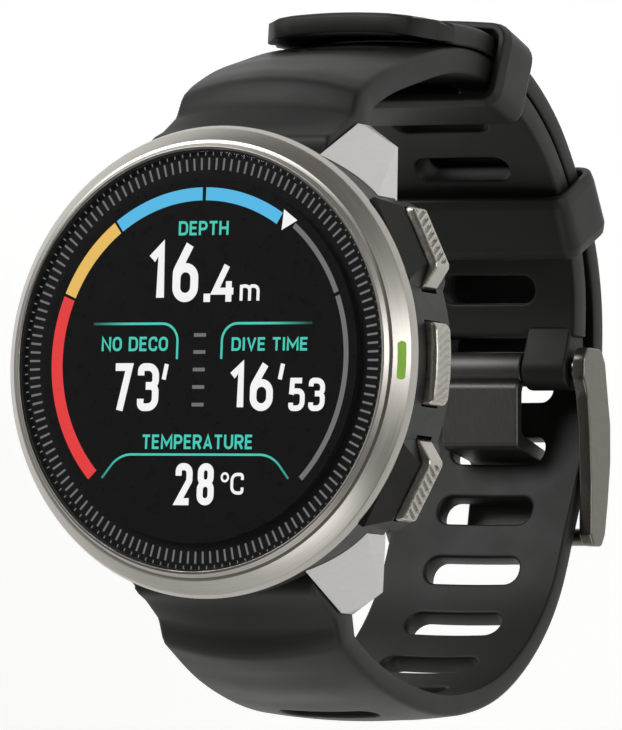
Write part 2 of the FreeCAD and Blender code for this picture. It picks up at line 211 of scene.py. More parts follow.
def clear_glass(name):
    m = Nodes(name)
    fresnel = m.add("ShaderNodeFresnel")
    fresnel.inputs["IOR"].default_value = 1.45
    clear = m.add("ShaderNodeBsdfTransparent")
    gloss = m.add("ShaderNodeBsdfAnisotropic")
    smear = m.noise(6, 3)
    m.link(m.spread(smear, 0.02, 0.06), gloss.inputs["Roughness"])
    mix = m.add("ShaderNodeMixShader")
    m.link(m.math("MULTIPLY", fresnel.outputs[0], 0.35), mix.inputs[0])
    m.link(clear.outputs[0], mix.inputs[1])
    m.link(gloss.outputs[0], mix.inputs[2])
    m.link(mix.outputs[0], m.tree.nodes["Material Output"].inputs["Surface"])
    return m.material


STEEL = turned_steel("steel_turned", (168, 164, 158), (180, 176, 170), (0.29, 0.35))
LUG = lined_steel("steel_lug", (196, 194, 191), (203, 201, 198), (0.38, 0.44), (900, 9000, 900), 0.001)
BUTTON = lined_steel("steel_button", (164, 160, 152), (178, 174, 166), (0.27, 0.34),
                     (1500, 1500, 9000), 0.001)
BUCKLE = lined_steel("steel_buckle", (108, 104, 97), (116, 112, 105), (0.34, 0.4), (9000, 1200, 1200), 0.001)
TANG = lined_steel("steel_tang", (92, 91, 89), (99, 98, 96), (0.46, 0.54), (9000, 900, 900), 0.001)
BAR = lined_steel("steel_bar", (150, 150, 150), (180, 180, 180), (0.2, 0.3), (400, 9000, 9000), 0.001)
STRAP = rubber("strap_rubber", (22, 22, 21), (24, 24, 22))
KEEPER = rubber("keeper_rubber", (22, 22, 21), (26, 26, 24))
CASE = plain("case_polymer", (24, 23, 22), (30, 29, 27), (0.36, 0.46), 0.2, 0.006, specular=0.35)
SEAL = plain("seal_rubber", (20, 20, 20), (28, 28, 28), (0.5, 0.65))
LIME = plain("lime_plastic", (128, 180, 48), (142, 194, 62), (0.42, 0.52), specular=0.3)
BLACK = plain("display_black", (22, 22, 22), (25, 25, 25), (0.25, 0.35), 0.3, 0.001, specular=0.2)
RING = plain("tick_ring_black", (9, 9, 9), (14, 14, 14), (0.4, 0.5), 0.2, 0.004, specular=0.25)
WHITE = plain("white_polymer", (205, 205, 200), (220, 220, 215))
BOARD = plain("board_green", (22, 88, 52), (30, 110, 64), (0.3, 0.45), 0.3, 0.01, coat=0.3)
CELL = plain("battery_wrap", (150, 152, 156), (172, 174, 178), (0.25, 0.4), 0.4, 0.01, metal=0.6)
BRASS = plain("brass", (196, 160, 96), (214, 180, 116), (0.25, 0.38), 0.3, 0.004, metal=1.0)
GOLD = plain("gold_contact", (226, 184, 96), (240, 200, 116), (0.15, 0.25), 0.3, 0.003, metal=1.0)
DARK = plain("dark_window", (10, 10, 12), (14, 14, 18), (0.08, 0.16), 0.4, 0.002, coat=0.4)
GLASS = clear_glass("crystal_glass")


# ============================================================ mesh helpers
def make_object(name, points, faces, material, body, node=(), smooth=None):
    """points in millimetres; smooth is the edge angle below which shading is smooth."""
    mesh = bpy.data.meshes.new(name)
    mesh.from_pydata([Vector(p) * MM for p in points], [], faces)
    mesh.validate()
    mesh.materials.append(material)
    thing = bpy.data.objects.new(name, mesh)
    bpy.context.scene.collection.objects.link(thing)
    if smooth:
        mesh.polygons.foreach_set("use_smooth", [True] * len(mesh.polygons))
        mesh.set_sharp_from_angle(angle=math.radians(smooth))
    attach(thing, body)
    if node:
        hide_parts(*([node] if isinstance(node, str) else node))
    return thing


def bevelled(thing, width, angle=35, segments=3):
    edge = thing.modifiers.new("edge", "BEVEL")
    edge.width, edge.segments, edge.limit_method = width * MM, segments, "ANGLE"
    edge.angle_limit = math.radians(angle)
    edge.harden_normals = False
    thing.data.polygons.foreach_set("use_smooth", [True] * len(thing.data.polygons))
    normals = thing.modifiers.new("normals", "WEIGHTED_NORMAL")
    normals.keep_sharp = True
    return thing


def grid_faces(rows, columns, close_rows=False, close_columns=False):
    faces = []
    for i in range(rows if close_rows else rows - 1):
        for j in range(columns if close_columns else columns - 1):
            a, b = i * columns + j, i * columns + (j + 1) % columns
            c, d = ((i + 1) % rows) * columns + (j + 1) % columns, ((i + 1) % rows) * columns + j
            faces.append((a, b, c, d))
    return faces


def rounded(points, closed=True, steps=5):
    """Polyline with arcs in place of its corners; each point is (a, b, radius)."""
    out, n = [], len(points)
    for i, (x, y, r) in enumerate(points):
        p = Vector((x, y))
        if r <= 0 or (not closed and i in (0, n - 1)):
            out.append(p)
            continue
        before, after = Vector(points[i - 1][:2]) - p, Vector(points[(i + 1) % n][:2]) - p
        half = before.angle(after) / 2
        reach = min(r / math.tan(half), before.length * 0.499, after.length * 0.499)
        r = reach * math.tan(half)
        middle = (before.normalized() + after.normalized()).normalized() * (r / math.sin(half))
        a, b = before.normalized() * reach - middle, after.normalized() * reach - middle
        turn = a.angle_signed(b)
        for k in range(steps + 1):
            t = -turn * k / steps
            out.append(p + middle + Vector((a.x * math.cos(t) - a.y * math.sin(t),
                                            a.x * math.sin(t) + a.y * math.cos(t))))
    return out


def prism(name, outline, place, low, high, material, body, node=(), slot=None, bevel=0.2, angle=35):
    """Outline extruded from low to high; place(a, b, h) gives the point."""
    n = len(outline)
    points = [place(a, b, low) for a, b in outline] + [place(a, b, high) for a, b in outline]
    faces = [tuple(range(n - 1, -1, -1)), tuple(range(n, 2 * n))]
    faces += [(i, (i + 1) % n, n + (i + 1) % n, n + i) for i in range(n)]
    thing = make_object(name, points, faces, material, body, node)
    fix_normals(thing)
    return bevelled(thing, bevel, angle)


def fix_normals(thing):
    work = bmesh.new()
    work.from_mesh(thing.data)
    bmesh.ops.recalc_face_normals(work, faces=work.faces)
    work.to_mesh(thing.data)
    work.free()


def swept(name, path, profile, material, body, node=(), smooth=40):
    """Closed profile (out, along) carried round a closed path of (point, out, along) frames."""
    points = [p + o * a + s * b for p, o, s in path for a, b in profile]
    faces = grid_faces(len(path), len(profile), True, True)
    thing = make_object(name, points, faces, material, body, node)
    fix_normals(thing)
    thing.data.polygons.foreach_set("use_smooth", [True] * len(thing.data.polygons))
    thing.data.set_sharp_from_angle(angle=math.radians(smooth))
    return thing


def circle_path(count=240):
    turns = [2 * math.pi * k / count for k in range(count)]
    return [(Vector(), Vector((math.cos(t), math.sin(t), 0)), Vector((0, 0, 1))) for t in turns]


def lathe(name, profile, material, body, node=(), smooth=40, count=240, steps=3):
    outline = rounded(profile, True, steps)
    return swept(name, circle_path(count), [(p.x, p.y) for p in outline], material, body, node, smooth)


def softened(node, width, material, body, angle=30):
    """A CAD node's shape again, with its edges rounded."""
    work = bmesh.new()
    work.from_mesh(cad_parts[node].data)
    bmesh.ops.remove_doubles(work, verts=work.verts, dist=0.00001)
    bmesh.ops.dissolve_limit(work, angle_limit=math.radians(1.5), verts=work.verts, edges=work.edges)
    mesh = bpy.data.meshes.new(node + "_look")
    work.to_mesh(mesh)
    work.free()
    mesh.materials.clear()
    mesh.materials.append(material)
    thing = bpy.data.objects.new(node + "_look", mesh)
    bpy.context.scene.collection.objects.link(thing)
    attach(thing, body)
    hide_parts(node)
    return bevelled(thing, width, angle)


# ============================================================ head
lathe("bezel", [(22.05, -1.95, 0), (22.05, -0.02, 0.06), (22.36, -0.02, 0.08), (22.70, -0.52, 0.08),
                (22.86, -0.55, 0.05), (23.06, -0.62, 0.08), (24.42, -2.05, 0.5), (24.75, -2.8, 0.25),
                (24.75, -3.02, 0.1), (24.4, -3.3, 0.1), (22.4, -3.3, 0), (22.4, -4.6, 0),
                (21.6, -4.6, 0), (21.6, -3.3, 0), (21.0, -3.3, 0), (21.0, -1.95, 0)],
      STEEL, "watch", "bezel_ring", 30)

# green marker, a thin sheet that follows the conical flank of the bezel
MARKER_HALF, MARKER_WIDTH, MARKER_CORNER = 2.0, 0.92, 0.35
ROWS, COLUMNS = 33, 5


def marker_point(a, b, h):
    """a runs along the rim, b down the flank and h outwards."""
    radius, turn = 23.42 + 0.689 * b + 0.725 * h, a / 23.7
    return (radius * math.cos(turn), radius * math.sin(turn), -1.0 - 0.725 * b + 0.689 * h)


marker_points = []
for h in (0.04, -0.4):
    for a in np.linspace(-MARKER_HALF, MARKER_HALF, ROWS):
        past = max(0.0, abs(a) - MARKER_HALF + MARKER_CORNER)
        inset = MARKER_CORNER - math.sqrt(max(0.0, MARKER_CORNER ** 2 - past ** 2))
        for b in np.linspace(inset, MARKER_WIDTH - inset, COLUMNS):
            marker_points.append(marker_point(a, b, h))
sheet = grid_faces(ROWS, COLUMNS)
count = ROWS * COLUMNS
rim = list(range(COLUMNS))
rim += [COLUMNS * k + COLUMNS - 1 for k in range(1, ROWS)]
rim += list(range(count - 2, count - COLUMNS - 1, -1))
rim += [COLUMNS * k for k in range(ROWS - 2, 0, -1)]
marker_faces = sheet + [tuple(count + i for i in reversed(f)) for f in sheet]
marker_faces += [(i, j, count + j, count + i) for i, j in zip(rim, rim[1:] + rim[:1])]
fix_normals(make_object("green_marker", marker_points, marker_faces, LIME, "watch", "bezel_marker",
                        40))


# ---- display: parts of it are thin plates just under the glass
def plate(name, rings, z, material, node=(), body="watch"):
    """Flat pieces at height z; rings is a list of closed outlines."""
    points, faces = [], []
    for outline in rings:
        start = len(points)
        points += [Vector((p[0], p[1], z)) for p in outline]
        faces.append(tuple(range(start, start + len(outline))))
    return make_object(name, points, faces, material, body, node)


def ribbon(path, width, closed=False):
    """Quads along a centre line, with mitred corners."""
    left, right, n = [], [], len(path)
    for i, p in enumerate(path):
        before = path[i - 1] if (i or closed) else None
        after = path[(i + 1) % n] if (i < n - 1 or closed) else None
        a = (p - before).normalized() if before is not None else (after - p).normalized()
        b = (after - p).normalized() if after is not None else a
        side = Vector((-a.y - b.y, a.x + b.x))
        side = side.normalized() if side.length > 1e-6 else Vector((-a.y, a.x))
        reach = width / 2 / max(0.5, abs(side.dot(Vector((-a.y, a.x)))))
        left.append(p + side * reach)
        right.append(p - side * reach)
    return [(left[i], left[(i + 1) % n], right[(i + 1) % n], right[i]) for i in range(n if closed else n - 1)]


# strokes on a unit box: (closed, [(x, y, corner)]), with the glyph's width over its height
GLYPHS = {
    "0": (0.52, [(1, [(0, 0, 1), (1, 0, 1), (1, 1, 1), (0, 1, 1)])]),
    "1": (0.34, [(0, [(0, .78, 0), (1, 1.0, 0), (1, 0, 0)])]),
    "2": (0.52, [(0, [(0, .74, 0), (0, 1, 1), (1, 1, 1), (1, .6, .6), (0.02, 0, 0), (1, 0, 0)])]),
    "3": (0.52, [(0, [(0, .79, 0), (0, 1, 1), (1, 1, 1), (1, .53, .85), (.34, .53, 0)]),
                 (0, [(.34, .53, 0), (1, .53, .85), (1, 0, 1), (0, 0, 1), (0, .21, 0)])]),
    "4": (0.62, [(0, [(.62, 1, 0), (0, .22, 0), (1, .22, 0)]), (0, [(.74, .52, 0), (.74, -.1, 0)])]),
    "5": (0.52, [(0, [(.93, 1, 0), (.1, 1, 0), (.03, .5, 0)]),
                 (0, [(.03, .53, 0), (.2, .62, .5), (1, .62, 1), (1, 0, 1), (0, 0, 1), (0, .2, 0)])]),
    "6": (0.52, [(1, [(0, 0, 1), (1, 0, 1), (1, .6, 1), (0, .6, 1)]),
                 (0, [(.7, 1.06, 0), (0, .52, .9), (0, .3, 0)])]),
    "7": (0.5, [(0, [(0, 1, 0), (1, 1, 0), (.36, -.08, 0)])]),
    "8": (0.52, [(1, [(0, 0, 1), (1, 0, 1), (1, .53, 1), (0, .53, 1)]),
                 (1, [(.05, .53, 1), (.95, .53, 1), (.95, 1, 1), (.05, 1, 1)])]),
    "A": (0.62, [(0, [(0, -.08, 0), (.5, 1, 0), (1, -.08, 0)]), (0, [(.16, .24, 0), (.84, .24, 0)])]),
    "C": (0.56, [(0, [(1, .7, 0), (1, 1, 1), (0, 1, 1), (0, 0, 1), (1, 0, 1), (1, .3, 0)])]),
    "D": (0.6, [(1, [(0, 0, 0), (1, 0, .9), (1, 1, .9), (0, 1, 0)])]),
    "E": (0.5, [(0, [(1.1, 1, 0), (0, 1, 0), (0, 0, 0), (1.1, 0, 0)]), (0, [(0, .52, 0), (1, .52, 0)])]),
    "H": (0.6, [(0, [(0, -.1, 0), (0, 1.1, 0)]), (0, [(1, -.1, 0), (1, 1.1, 0)]),
                (0, [(0, .5, 0), (1, .5, 0)])]),
    "I": (0.2, [(0, [(.5, -.1, 0), (.5, 1.1, 0)])]),
    "M": (0.76, [(0, [(0, -.1, 0), (0, 1, 0), (.5, .25, 0), (1, 1, 0), (1, -.1, 0)])]),
    "N": (0.62, [(0, [(0, -.1, 0), (0, 1, 0), (1, 0, 0), (1, 1.1, 0)])]),
    "O": (0.6, [(1, [(0, 0, 1), (1, 0, 1), (1, 1, 1), (0, 1, 1)])]),
    "P": (0.56, [(0, [(0, -.1, 0), (0, 1, 0), (1, 1, .9), (1, .42, .9), (0, .42, 0)])]),
    "R": (0.58, [(0, [(0, -.1, 0), (0, 1, 0), (1, 1, .9), (1, .46, .9), (0, .46, 0)]),
                 (0, [(.5, .46, 0), (1, -.08, 0)])]),
    "T": (0.56, [(0, [(-.1, 1, 0), (1.1, 1, 0)]), (0, [(.5, 1, 0), (.5, -.1, 0)])]),
    "U": (0.6, [(0, [(0, 1.1, 0), (0, 0, 1), (1, 0, 1), (1, 1.1, 0)])]),
    "V": (0.62, [(0, [(0, 1.08, 0), (.5, 0, 0), (1, 1.08, 0)])]),
    "m": (1.25, [(0, [(0, -.1, 0), (0, 1.1, 0)]), (0, [(0, .6, 0), (0, 1, .5), (.5, 1, .5), (.5, -.1, 0)]),
                 (0, [(.5, .6, 0), (.5, 1, .5), (1, 1, .5), (1, -.1, 0)])]),
    "o": (1.0, [(1, [(0, 0, 1), (1, 0, 1), (1, 1, 1), (0, 1, 1)])]),
    "'": (0.5, [(0, [(.8, 1.1, 0), (.15, -.1, 0)])]),
    " ": (0.26, []),
}


def lettering(text, left, right, low, high, stroke, gap=0.14):
    """Flat outlines of a line of text that fills the given box."""
    height = high - low
    spans = [GLYPHS[c][0] * height for c in text]
    spaces = gap * height * (len(text) - 1)
    squeeze = (right - left - spaces) / sum(spans)
    out, at = [], left
    for char, span in zip(text, spans):
        span *= squeeze
        room_x, room_y = span - stroke, height - stroke
        for closed, points in GLYPHS[char][1]:
            scaled = [(at + stroke / 2 + x * room_x, low + stroke / 2 + y * room_y, r * room_x / 2)
                      for x, y, r in points]
            out += ribbon(rounded(scaled, bool(closed), 7), stroke, bool(closed))
        at += span + gap * height
    return out


def clock(angle, r):
    """Point at an angle clockwise from 12 o'clock."""
    a = math.radians(angle)
    return (r * math.sin(a), r * math.cos(a))


def arc(start, end, r_in, r_out, step=2.0):
    count = max(2, int(abs(end - start) / step))
    outline = [clock(start + (end - start) * k / count, r_out) for k in range(count + 1)]
    return outline + [clock(end + (start - end) * k / count, r_in) for k in range(count + 1)]


WHITE_LIT = glow("lit_white", (250, 250, 250), 1.0)
TEAL_LIT = glow("lit_teal", (72, 205, 186), 1.0)
BLUE_LIT = glow("lit_blue", (85, 188, 234), 1.0)
AMBER_LIT = glow("lit_amber", (236, 191, 96), 1.0)
RED_LIT = glow("lit_red", (232, 58, 58), 1.0)
GREY_LIT = glow("lit_grey", (112, 112, 112), 1.0)
# printed division marks made to glow: painted light standing in for the lamp light they would catch under the
# glass
TICK_GLOW = glow("tick_print_painted_glow", (112, 112, 112), 1.0)

FADING = glow("lit_teal_fading", (72, 205, 186), 1.0, (8.5, 13.2))
up = -0.09
plate("scale_blue", [arc(-36, -0.7, 16.68, 18.04), arc(0.7, 32.2, 16.68, 18.04)], up, BLUE_LIT)
plate("scale_amber", [arc(-67.0, -36.9, 16.68, 18.04)], up, AMBER_LIT)
plate("scale_red", [arc(-133.9, -68.0, 16.68, 18.04)], up, RED_LIT)
plate("scale_grey", [arc(38.2, 66.9, 17.5, 18.08), arc(68.1, 133.9, 17.5, 18.08)], up, GREY_LIT)
white = [[(9.73, 15.65), (11.38, 14.47), (9.51, 13.48)]]
white += lettering("16", -6.55, -0.38, 6.05, 12.22, 0.96, 0.16)
white.append([(0.34, 6.05), (1.14, 6.05), (1.14, 6.92), (0.34, 6.92)])
white += lettering("4", 1.35, 4.3, 6.05, 10.22, 0.72)
white += lettering("m", 4.72, 7.12, 6.12, 7.86, 0.36)
white += lettering("73", -10.5, -4.75, -5.33, -0.32, 0.8, 0.13)
white += lettering("'", -4.5, -3.5, -2.15, -0.3, 0.5)
white += lettering("16", 3.8, 9.15, -5.33, -0.32, 0.8, 0.15)
white += lettering("'", 9.6, 10.6, -2.15, -0.3, 0.5)
white += lettering("53", 11.05, 15.4, -5.33, -1.88, 0.58, 0.13)
white += lettering("28", -2.3, 2.4, -15.15, -10.76, 0.74, 0.13)
white += lettering("o", 3.2, 4.2, -12.75, -11.7, 0.24)
white += lettering("C", 4.4, 6.0, -14.02, -11.75, 0.34)
plate("readings", white, up, WHITE_LIT)
teal = lettering("DEPTH", -2.97, 3.1, 13.03, 14.52, 0.27, 0.12)
teal += lettering("NO DECO", -11.93, -3.8, 0.94, 2.45, 0.27, 0.12)
teal += lettering("DIVE TIME", 3.95, 13.15, 0.94, 2.35, 0.26, 0.12)
teal += lettering("TEMPERATURE", -6.55, 6.9, -9.3, -7.78, 0.27, 0.12)
plate("labels", teal, up, TEAL_LIT)
lines = ribbon(rounded([(-13.0, 3.81, 0), (-2.65, 3.81, 2.3), (-2.65, 0.1, 0)], False, 10), 0.26)
lines += ribbon(rounded([(13.6, 3.81, 0), (2.75, 3.81, 2.3), (2.75, 0.1, 0)], False, 10), 0.26)
lines += ribbon(rounded([(-11.35, -12.35, 0), (-9.3, -9.87, 3.2), (9.3, -9.87, 3.2), (11.35, -12.35, 0)],
                        False, 12), 0.24)
plate("guide_lines", lines, up, FADING)
plate("centre_dashes", [[(-0.66, y - 0.19), (0.8, y - 0.19), (0.8, y + 0.19), (-0.66, y + 0.19)]
                        for y in (2.61, 0.83, -1.0, -2.82, -4.66)], up, GREY_LIT)


def round_plate(name, r_in, r_out, z_low, z_high, material, node=()):
    return lathe(name, [(r_in, z_low, 0), (r_in, z_high, 0), (r_out, z_high, 0), (r_out, z_low, 0)],
                 material, "watch", node)


round_plate("display_face", 0.001, 19.1, -0.94, -0.12, BLACK, "display_module")
round_plate("tick_floor", 19.1, 22.0, -1.9, -0.86, RING, "tick_ring")
ticks = [arc(2.5 * k - 0.32, 2.5 * k + 0.32, 19.95, 21.2, 9) for k in range(144)]
ticks += [arc(2.5 * k + 1.07, 2.5 * k + 1.43, 21.45, 21.8, 9) for k in range(144)]
# the division marks glow with painted light instead of being lit by the lamps
plate("division_marks", ticks, -0.845, TICK_GLOW)
lathe("glass", [(0.001, -0.02, 0), (0.001, 0.0, 0), (21.75, 0.0, 0.02), (21.86, -0.06, 0.02),
                (21.86, -0.08, 0)],
      GLASS, "watch", "crystal")


# ============================================================ straps
SHORT_LINE = [(28.5, -14.3), (30.7, -18.9), (32.2, -23.6), (33.5, -28.2), (34.4, -33.0), (34.3, -38.0),
              (33.0, -43.4), (30.3, -49.0), (26.6, -53.8), (22.0, -57.6), (17.0, -60.3), (11.5, -61.8),
              (7.0, -62.0)]
LONG_LINE = [(-28.5, -14.3), (-30.9, -18.9), (-32.8, -24.4), (-34.1, -31.0), (-34.3, -36.0), (-33.7, -41.0),
             (-32.1, -46.4), (-29.2, -51.4), (-25.5, -55.5), (-20.3, -59.0), (-14.5, -61.2), (-7.0, -64.0),
             (0.0, -65.8), (5.0, -66.2), (10.0, -65.9), (15.0, -64.7), (19.4, -62.7)]
SHORT_THICK, LONG_THICK, GAP, CROWN, HALF = 2.8, 2.3, 0.2, 0.75, 11.0


class Line:
    """Natural cubic spline through (y, z) points, read by arc length."""

    def __init__(self, points, step=0.25):
        p = np.array(points, float)
        t = np.concatenate([[0], np.cumsum(np.linalg.norm(np.diff(p, axis=0), axis=1))])
        n, h = len(p), np.diff(t)
        a, b = np.zeros((n, n)), np.zeros((n, 2))
        a[0, 0] = a[-1, -1] = 1
        for i in range(1, n - 1):
            a[i, i - 1:i + 2] = h[i - 1], 2 * (h[i - 1] + h[i]), h[i]
            b[i] = 6 * ((p[i + 1] - p[i]) / h[i] - (p[i] - p[i - 1]) / h[i - 1])
        bend = np.linalg.solve(a, b)
        fine = np.arange(0, t[-1], step)
        k = np.clip(np.searchsorted(t, fine, side="right") - 1, 0, n - 2)
        u, v, w = (t[k + 1] - fine)[:, None], (fine - t[k])[:, None], h[k][:, None]
        self.points = (bend[k] * u ** 3 + bend[k + 1] * v ** 3) / (6 * w) \
            + (p[k] / w - bend[k] * w / 6) * u + (p[k + 1] / w - bend[k + 1] * w / 6) * v
        self.points = np.vstack([self.points, p[-1]])
        self.length = np.concatenate([[0], np.cumsum(np.linalg.norm(np.diff(self.points, axis=0), axis=1))])
        self.end = self.length[-1]

    def at(self, s):
        """Point, direction and outward normal at arc length s, as (y, z) arrays."""
        def place(q):
            return np.array([np.interp(q, self.length, self.points[:, i]) for i in (0, 1)])
        clipped = min(max(s, 0.0), self.end)
        along = place(min(clipped + 0.4, self.end)) - place(max(clipped - 0.4, 0.0))
        along /= np.linalg.norm(along)
        out = np.array([-along[1], along[0]])
        point = place(clipped) + along * (s - clipped)
        if out @ (point - np.array([0, -38.0])) < 0:
            out = -out
        return point, along, out

    def moved(self, distance, points):
        """The line's own points, each shifted along the outward normal."""
        result = []
        for q in points:
            s = self.length[np.argmin(np.linalg.norm(self.points - np.array(q), axis=1))]
            result.append(tuple(np.array(q) + self.at(s)[2] * distance))
        return result


short_path = Line(SHORT_LINE)
over = short_path.moved((SHORT_THICK + LONG_THICK) / 2 + GAP, [SHORT_LINE[k] for k in (9, 8, 7, 6, 5, 4)])
long_path = Line(LONG_LINE + over + [(37.3, -26.6)])


def smooth(a, b, x):
    t = min(max((x - a) / (b - a), 0.0), 1.0)
    return t * t * (3 - 2 * t)


# the thick end between the lugs, from the bezel outwards: outer and inner side, in (y, z)
END_OUTER = [(21.5, -6.5, 0), (23.9, -6.5, 0.9), (24.8, -8.8, 1.2), (26.6, -11.6, 0.7), (29.0, -12.7, 1.2)]
END_INNER = [(21.5, -6.5, 0), (21.5, -11.6, 0.6), (22.6, -13.0, 0.6), (25.2, -14.8, 1.0)]


def resampled(points, count):
    p = np.array([(q[0], q[1]) for q in points])
    t = np.concatenate([[0], np.cumsum(np.linalg.norm(np.diff(p, axis=0), axis=1))])
    return [np.array([np.interp(v, t, p[:, i]) for i in (0, 1)]) for v in np.linspace(0, t[-1], count)]


def box_distance(x, s, half_x, half_s, r):
    """Signed distance to a rounded box round the origin, negative inside."""
    qx, qs = abs(x) - half_x + r, abs(s) - half_s + r
    return math.hypot(max(qx, 0), max(qs, 0)) + min(max(qx, qs), 0) - r


def rounded_box(cx, cs, half_x, half_s, r, grow, steps=7):
    corners = [(cx - half_x, cs - half_s, r), (cx + half_x, cs - half_s, r),
               (cx + half_x, cs + half_s, r), (cx - half_x, cs + half_s, r)]
    return [p + grow * (p - Vector((min(max(p.x, cx - half_x + r), cx + half_x - r),
                                    min(max(p.y, cs - half_s + r), cs + half_s - r)))).normalized()
            for p in rounded([(a, b, r - 0.001) for a, b, r in corners], True, steps)]


def strap(name, path, thick, inner_crown, side, slots, last, tip, node, fork=None):
    """Rubber half, worked out on a flat (across, along) sheet and laid onto the line."""
    first = -10.5
    outer_end = rounded([(side * y, z, r) for y, z, r in END_OUTER]
                        + [tuple(path.at(0.8)[0] + path.at(0.8)[2] * thick / 2) + (0,)], False, 5)
    inner_end = rounded([(side * y, z, r) for y, z, r in END_INNER]
                        + [tuple(path.at(0.8)[0] - path.at(0.8)[2] * thick / 2) + (0,)], False, 5)
    outer_end, inner_end = resampled(outer_end, 60), resampled(inner_end, 60)

    def edge_distance(x, s):
        """How far inside the sheet's outline a point is."""
        middle, reach = (first + last) / 2, (last - first) / 2
        d = -box_distance(x, s - middle, HALF, reach, tip if s > middle else 0.01)
        for at in slots:
            d = min(d, box_distance(x, s - at, 5.8, 1.6, 1.45))
        if fork:
            d = min(d, box_distance(x, s - fork[1] - 20, fork[0], 20, 0.3))
        return d

    def lay(x, s, upper):
        if s < 0.8:
            k = (s - first) / (0.8 - first) * 59
            low = min(int(k), 58)
            ends = outer_end if upper else inner_end
            point = ends[low] * (low + 1 - k) + ends[low + 1] * (k - low)
        else:
            point, _, out = path.at(s)
            point = point + out * (thick / 2 if upper else -thick / 2)
        out = path.at(max(s, 0.0))[2]
        share = 1 - (x / HALF) ** 2
        if upper:
            rise = CROWN + 1.05 * smooth(12, 1.5, s)
            rise *= smooth(-8.5, -2.0, s)
            rise -= 0.35 * math.exp(-((s - 3.6) / 2.6) ** 2)
        else:
            rise = inner_crown * smooth(0, 6, s)
        d = edge_distance(x, s)
        r = (0.55 if upper else 0.3) if abs(x) > HALF - 0.7 or s > last - 1 else 0.3
        r = r * smooth(first, first + 1, s)
        drop = r - math.sqrt(max(0.0, r * r - max(0.0, r - d) ** 2)) if d < r else 0.0
        point = point + out * (rise * share + (-drop if upper else drop))
        return Vector((x, point[0], point[1]))

    # points of the sheet: outline rings, slot rings, then an even field
    field = []
    offsets = (0.0, 0.08, 0.2, 0.36, 0.6)
    steps_along = np.arange(first, last - tip + 0.01, 0.7)
    for s in steps_along:
        for d in offsets:
            field += [(-HALF + d, s), (HALF - d, s)]
    for d in offsets:
        if tip > 0.1:
            corner = rounded([(-HALF + d, last - tip - 1, 0), (-HALF + d, last - d, tip - d),
                              (HALF - d, last - d, tip - d), (HALF - d, last - tip - 1, 0)], False, 10)
            field += [tuple(p) for p in corner]
            field += [(x, last - d) for x in np.arange(-HALF + tip, HALF - tip, 0.8)]
        else:
            field += [(x, last - d) for x in np.arange(-HALF + 0.8, HALF - 0.7, 0.8)]
    loops = []
    for at in slots:
        for d in offsets:
            loop = [tuple(p) for p in rounded_box(0, at, 5.8, 1.6, 1.45, d)]
            if d == 0:
                loops.append(loop)
            even = []
            for p, q in zip(loop, loop[1:] + loop[:1]):
                count = max(1, int(math.dist(p, q) / 0.8))
                even += [tuple(np.array(p) + (np.array(q) - np.array(p)) * k / count) for k in range(count)]
            field += even
    if fork:
        for d in offsets:
            for s in np.arange(fork[1] - d, last, 0.5):
                field += [(-fork[0] - d, s), (fork[0] + d, s)]
            field += [(x, fork[1] - d) for x in np.arange(-fork[0] + 0.4, fork[0] - 0.3, 0.7)]
    for s in np.arange(first + 0.35, last - 0.5, 0.62):
        for x in np.arange(-HALF + 1.1, HALF - 1.0, 0.9):
            if edge_distance(x, s) > 0.85:
                field.append((x, s))
    field = [p for p in field if edge_distance(p[0], p[1]) > -0.002]
    verts, _, faces, *_ = delaunay_2d_cdt([Vector(p) for p in field], [], [], 0, 0.01)
    keep = []
    for f in faces:
        cx, cs = sum(verts[i].x for i in f) / 3, sum(verts[i].y for i in f) / 3
        if edge_distance(cx, cs) > 0.004:
            keep.append(tuple(f))
    n = len(verts)
    points = [lay(v.x, v.y, True) for v in verts] + [lay(v.x, v.y, False) for v in verts]
    border = {}
    for f in keep:
        for a, b in zip(f, f[1:] + f[:1]):
            border[(a, b)] = border.get((b, a), 0) + 1
            if (b, a) in border:
                border[(b, a)] += 1
    rims = [e for e in border if (e[1], e[0]) not in border]
    faces = keep + [tuple(n + i for i in reversed(f)) for f in keep] + [(b, a, n + a, n + b) for a, b in rims]
    thing = make_object(name, points, faces, STRAP, "watch", node)
    work = bmesh.new()
    work.from_mesh(thing.data)
    bmesh.ops.remove_doubles(work, verts=work.verts, dist=0.000002)
    bmesh.ops.delete(work, geom=[v for v in work.verts if not v.link_faces], context="VERTS")
    bmesh.ops.recalc_face_normals(work, faces=work.faces)
    work.to_mesh(thing.data)
    work.free()
    thing.data.polygons.foreach_set("use_smooth", [True] * len(thing.data.polygons))
    thing.data.set_sharp_from_angle(angle=math.radians(42))
    return thing


SHORT_SLOTS = [14.2 + 7.5 * k for k in range(7)]
LONG_SLOTS = [16.5 + 7.2 * k for k in range(15)]
strap("strap_short", short_path, SHORT_THICK, 0.3, 1, SHORT_SLOTS, short_path.end + 0.6, 0.01, "short_strap",
      (5.1, short_path.end + 0.1))
strap("strap_long", long_path, LONG_THICK, CROWN, -1, LONG_SLOTS, long_path.end, 4.8, "long_strap")

# forked barrel of the short strap
PIN_Y, PIN_Z = 3.4, -61.6
for side, tag in ((-1, "left"), (1, "right")):
    eye = [(PIN_Y - 2.35 * math.cos(math.radians(t)), PIN_Z + 2.35 * math.sin(math.radians(t)))
           for t in range(-120, 121, 8)] + [(8.0, -60.62), (8.0, -63.38)]
    prism("strap_barrel_" + tag, eye,
          lambda a, b, h: Vector((h, a, b)), *sorted((side * 5.1, side * 10.6)), STRAP, "watch", (),
          "strap_rubber", 0.35, 40)


